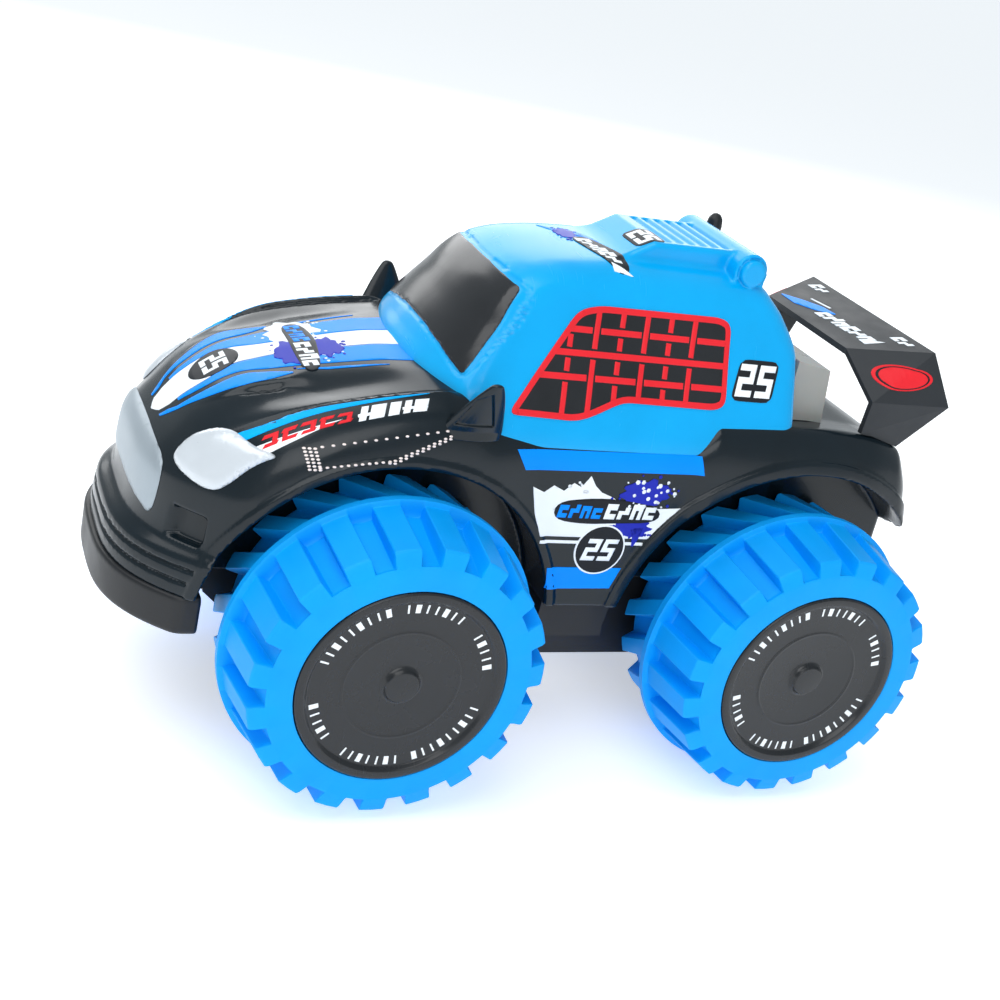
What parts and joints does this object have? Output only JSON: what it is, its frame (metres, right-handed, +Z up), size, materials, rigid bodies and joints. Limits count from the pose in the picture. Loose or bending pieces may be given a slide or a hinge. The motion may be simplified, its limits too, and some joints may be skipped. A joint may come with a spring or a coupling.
{
  "type": "radio-controlled stunt car",
  "caption": "amphibious skid-steer toy stunt car with sealed hull, flared body shell, raised cabin, rear wing and wide paddle-tread wheels",
  "frame": {"origin": "centre of the bounding box at the ground that the wheels stand on", "axes": "+Z up, the nose points to -Y, +X is the car's left side; +Y runs along the length"},
  "size_m": [0.166, 0.29, 0.186],
  "materials": {
    "black_plastic": "moulded black ABS, satin",
    "gloss_black": "glossy black ABS with printed stripes",
    "cyan_shell": "glossy bright blue ABS",
    "window_black": "glossy black window panels",
    "headlight_silver": "silver film under gloss",
    "grille_silver": "grey silver film",
    "smoke_lens": "milky smoked clear plastic",
    "circuit_green": "green circuit laminate",
    "battery_wrap": "blue shrink wrap",
    "steel": "plated steel",
    "gear_nylon": "natural white nylon",
    "azure_tyre": "soft satin blue vinyl",
    "rim_black": "black ABS",
    "hubcap_black": "black ABS disc with white printed ring"
  },
  "bodies": {
    "chassis": {"lower_hull": "black_plastic", "hull_lid": "black_plastic", "antenna": "black_plastic", "battery_door": "black_plastic", "gear_plate_left": "black_plastic", "gear_plate_right": "black_plastic", "upper_body": "gloss_black", "mirror_left": "gloss_black", "mirror_right": "gloss_black", "spoiler": "gloss_black", "cabin_shell": "cyan_shell", "windscreen": "window_black", "side_window_left": "window_black", "side_window_right": "window_black", "headlight_left": "headlight_silver", "headlight_right": "headlight_silver", "grille": "grille_silver", "rear_lens": "smoke_lens", "circuit_board": "circuit_green", "battery_pack": "battery_wrap", "battery_door_screw_front": "steel", "battery_door_screw_rear": "steel", "motor_left": "steel", "motor_right": "steel", "bushing_front_left": "gear_nylon", "bushing_front_right": "gear_nylon", "bushing_rear_left": "gear_nylon", "bushing_rear_right": "gear_nylon"},
    "front_left_wheel": {"tyre_front_left": "azure_tyre", "rim_front_left": "rim_black", "hubcap_front_left": "hubcap_black", "axle_front_left": "steel", "front_axle_gear_left": "gear_nylon"},
    "front_right_wheel": {"tyre_front_right": "azure_tyre", "rim_front_right": "rim_black", "hubcap_front_right": "hubcap_black", "axle_front_right": "steel", "front_axle_gear_right": "gear_nylon"},
    "rear_left_wheel": {"tyre_rear_left": "azure_tyre", "rim_rear_left": "rim_black", "hubcap_rear_left": "hubcap_black", "axle_rear_left": "steel", "rear_axle_gear_left": "gear_nylon"},
    "rear_right_wheel": {"tyre_rear_right": "azure_tyre", "rim_rear_right": "rim_black", "hubcap_rear_right": "hubcap_black", "axle_rear_right": "steel", "rear_axle_gear_right": "gear_nylon"},
    "left_front_idler": {"front_idler_gear_left": "gear_nylon"},
    "left_rear_idler": {"rear_idler_gear_left": "gear_nylon"},
    "left_centre_gear": {"centre_gear_left": "gear_nylon"},
    "left_reducer": {"reducer_gear_left": "gear_nylon"},
    "left_pinion": {"motor_pinion_left": "steel"},
    "right_front_idler": {"front_idler_gear_right": "gear_nylon"},
    "right_rear_idler": {"rear_idler_gear_right": "gear_nylon"},
    "right_centre_gear": {"centre_gear_right": "gear_nylon"},
    "right_reducer": {"reducer_gear_right": "gear_nylon"},
    "right_pinion": {"motor_pinion_right": "steel"},
    "switch_knob": {"power_switch": "black_plastic"}
  },
  "joints": [
    {"name": "front_left_wheel_spin", "type": "hinge", "parent": "chassis", "child": "front_left_wheel", "pos_m": [0.056, -0.061, 0.052], "axis": [1, 0, 0], "continuous": true},
    {"name": "rear_left_wheel_spin", "type": "hinge", "parent": "chassis", "child": "rear_left_wheel", "pos_m": [0.056, 0.09, 0.052], "axis": [1, 0, 0], "continuous": true},
    {"name": "left_front_idler_spin", "type": "hinge", "parent": "chassis", "child": "left_front_idler", "pos_m": [0.0213, -0.02325, 0.052], "axis": [1, 0, 0], "continuous": true},
    {"name": "left_centre_gear_spin", "type": "hinge", "parent": "chassis", "child": "left_centre_gear", "pos_m": [0.0213, 0.0145, 0.052], "axis": [1, 0, 0], "continuous": true},
    {"name": "left_rear_idler_spin", "type": "hinge", "parent": "chassis", "child": "left_rear_idler", "pos_m": [0.0213, 0.05225, 0.052], "axis": [1, 0, 0], "continuous": true},
    {"name": "left_reducer_spin", "type": "hinge", "parent": "chassis", "child": "left_reducer", "pos_m": [0.018, 0.02866, 0.07652], "axis": [1, 0, 0], "continuous": true},
    {"name": "left_pinion_spin", "type": "hinge", "parent": "chassis", "child": "left_pinion", "pos_m": [0.014, 0.03997, 0.06521], "axis": [1, 0, 0], "continuous": true},
    {"name": "front_right_wheel_spin", "type": "hinge", "parent": "chassis", "child": "front_right_wheel", "pos_m": [-0.056, -0.061, 0.052], "axis": [1, 0, 0], "continuous": true},
    {"name": "rear_right_wheel_spin", "type": "hinge", "parent": "chassis", "child": "rear_right_wheel", "pos_m": [-0.056, 0.09, 0.052], "axis": [1, 0, 0], "continuous": true},
    {"name": "right_front_idler_spin", "type": "hinge", "parent": "chassis", "child": "right_front_idler", "pos_m": [-0.0213, -0.02325, 0.052], "axis": [1, 0, 0], "continuous": true},
    {"name": "right_centre_gear_spin", "type": "hinge", "parent": "chassis", "child": "right_centre_gear", "pos_m": [-0.0213, 0.0145, 0.052], "axis": [1, 0, 0], "continuous": true},
    {"name": "right_rear_idler_spin", "type": "hinge", "parent": "chassis", "child": "right_rear_idler", "pos_m": [-0.0213, 0.05225, 0.052], "axis": [1, 0, 0], "continuous": true},
    {"name": "right_reducer_spin", "type": "hinge", "parent": "chassis", "child": "right_reducer", "pos_m": [-0.018, 0.00034, 0.07652], "axis": [1, 0, 0], "continuous": true},
    {"name": "right_pinion_spin", "type": "hinge", "parent": "chassis", "child": "right_pinion", "pos_m": [-0.014, -0.01097, 0.06521], "axis": [1, 0, 0], "continuous": true},
    {"name": "power_switch_slide", "type": "slide", "parent": "chassis", "child": "switch_knob", "axis": [0, 1, 0], "range_m": [0, 0.0035]}
  ],
  "couplings": [
    {"joint": "rear_left_wheel_spin", "follows": "front_left_wheel_spin", "ratio": 1},
    {"joint": "left_front_idler_spin", "follows": "front_left_wheel_spin", "ratio": -1},
    {"joint": "left_centre_gear_spin", "follows": "front_left_wheel_spin", "ratio": 1},
    {"joint": "left_rear_idler_spin", "follows": "front_left_wheel_spin", "ratio": -1},
    {"joint": "left_reducer_spin", "follows": "front_left_wheel_spin", "ratio": -2},
    {"joint": "left_pinion_spin", "follows": "front_left_wheel_spin", "ratio": 6},
    {"joint": "rear_right_wheel_spin", "follows": "front_right_wheel_spin", "ratio": 1},
    {"joint": "right_front_idler_spin", "follows": "front_right_wheel_spin", "ratio": -1},
    {"joint": "right_centre_gear_spin", "follows": "front_right_wheel_spin", "ratio": 1},
    {"joint": "right_rear_idler_spin", "follows": "front_right_wheel_spin", "ratio": -1},
    {"joint": "right_reducer_spin", "follows": "front_right_wheel_spin", "ratio": -2},
    {"joint": "right_pinion_spin", "follows": "front_right_wheel_spin", "ratio": 6}
  ]
}
